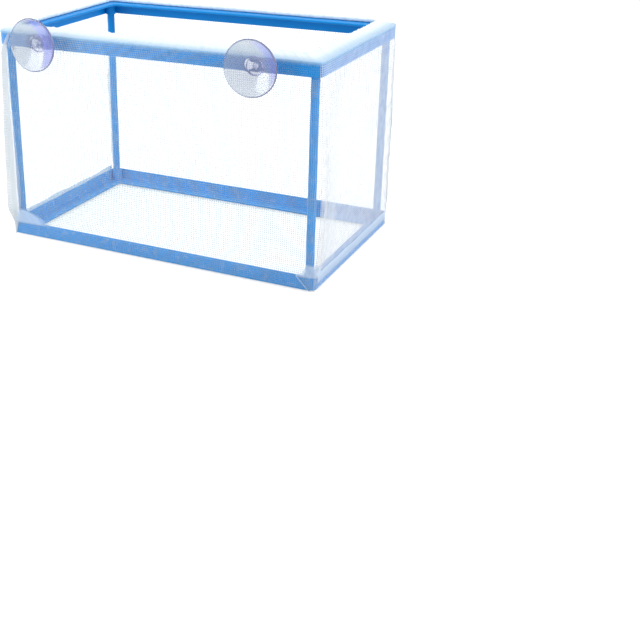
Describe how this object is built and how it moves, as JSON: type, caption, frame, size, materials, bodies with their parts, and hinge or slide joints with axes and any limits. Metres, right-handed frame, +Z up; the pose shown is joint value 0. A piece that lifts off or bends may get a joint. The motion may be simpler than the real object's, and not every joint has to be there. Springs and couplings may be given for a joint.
{
  "type": "fish breeding box",
  "caption": "Open-topped net box on a rigid blue frame of rings and posts, with clear suction cups that slide in keyholes of the front rail.",
  "frame": {"origin": "centre of the bounding box at the underside of the bottom net", "axes": "+X along the length to the right, +Y to the rear, away from the suction cups, +Z up"},
  "size_m": [0.2658, 0.1678, 0.1757],
  "materials": {
    "frame_plastic": "injection-moulded, mid gloss",
    "post_plastic": "extruded tube, mid gloss",
    "netting": "fine square-mesh nylon net",
    "seam_cloth": "doubled nylon net, sewn",
    "elastic": "braided elastic cord",
    "cup_pvc": "clear soft PVC with a faint violet tint"
  },
  "bodies": {
    "frame_and_bag": {"top_frame": "frame_plastic", "bottom_frame": "frame_plastic", "front_left_post": "post_plastic", "front_right_post": "post_plastic", "rear_left_post": "post_plastic", "rear_right_post": "post_plastic", "front_net": "netting", "rear_net": "netting", "left_net": "netting", "right_net": "netting", "bottom_net": "netting", "net_hem": "netting", "elastic_cord": "elastic", "front_left_seam": "seam_cloth", "front_right_seam": "seam_cloth", "rear_left_seam": "seam_cloth", "rear_right_seam": "seam_cloth"},
    "left_cup": {"left_suction_cup": "cup_pvc"},
    "right_cup": {"right_suction_cup": "cup_pvc"}
  },
  "joints": [
    {"name": "left_cup_slide", "type": "slide", "parent": "frame_and_bag", "child": "left_cup", "axis": [-1, 0, 0], "range_m": [0, 0.006]},
    {"name": "right_cup_slide", "type": "slide", "parent": "frame_and_bag", "child": "right_cup", "axis": [-1, 0, 0], "range_m": [0, 0.006]}
  ]
}
